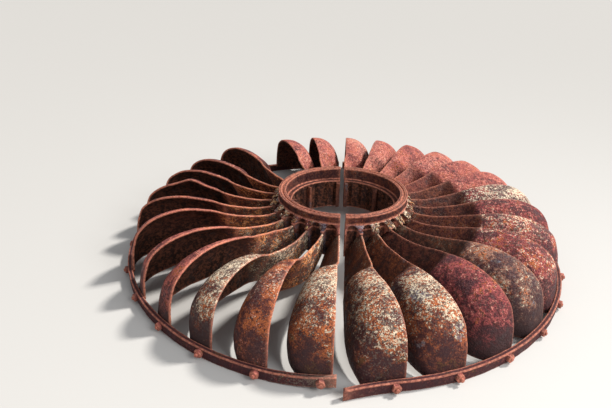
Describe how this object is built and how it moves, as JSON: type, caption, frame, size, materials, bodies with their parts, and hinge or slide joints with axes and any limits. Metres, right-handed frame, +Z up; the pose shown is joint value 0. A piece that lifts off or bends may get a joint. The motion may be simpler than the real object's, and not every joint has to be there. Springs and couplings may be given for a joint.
{
  "type": "mixed-flow turbine runner",
  "caption": "Rusty mixed-flow water turbine runner lying on its band, split across into two halves, with ladle-shaped blades round a rimmed hub and one blade broken off.",
  "frame": {"origin": "on the plane the wheel lies on, in the middle of its footprint; the wheel's axis stands 22 mm behind it in +Y, because the right band's front end is sprung outwards", "axes": "+Z up along the wheel's axis, Y along the seam between the two halves with the camera side at -Y, +X towards the right half"},
  "size_m": [2.326, 2.344, 0.3464],
  "materials": {
    "blade_plate": "rusted plate with pale scale and dark pitting",
    "hub_iron": "rusted casting with cream and blue-grey deposits",
    "bore_iron": "dark rusted casting",
    "band_iron": "rusted bar with a brighter top edge"
  },
  "bodies": {
    "root": {"hub_right": "hub_iron", "hub_left": "hub_iron", "hub_seam_rib_a_right": "bore_iron", "hub_rib_1_right": "bore_iron", "hub_rib_2_right": "bore_iron", "hub_rib_3_right": "bore_iron", "hub_seam_rib_b_right": "bore_iron", "hub_seam_rib_a_left": "bore_iron", "hub_rib_1_left": "bore_iron", "hub_rib_2_left": "bore_iron", "hub_rib_3_left": "bore_iron", "hub_seam_rib_b_left": "bore_iron", "band_right": "band_iron", "band_left": "band_iron", "blade_right_01": "blade_plate", "blade_right_02": "blade_plate", "blade_right_03": "blade_plate", "blade_right_04": "blade_plate", "blade_right_05": "blade_plate", "blade_right_06": "blade_plate", "blade_right_07": "blade_plate", "blade_right_08": "blade_plate", "blade_right_09": "blade_plate", "blade_right_10": "blade_plate", "blade_right_11": "blade_plate", "blade_right_12": "blade_plate", "blade_right_13": "blade_plate", "blade_right_14": "blade_plate", "blade_left_01": "blade_plate", "blade_left_02": "blade_plate", "blade_stub_left_03": "blade_plate", "blade_left_04": "blade_plate", "blade_left_05": "blade_plate", "blade_left_06": "blade_plate", "blade_left_07": "blade_plate", "blade_left_08": "blade_plate", "blade_left_09": "blade_plate", "blade_left_10": "blade_plate", "blade_left_11": "blade_plate", "blade_left_12": "blade_plate", "blade_left_13": "blade_plate", "blade_left_14": "blade_plate"}
  },
  "joints": []
}
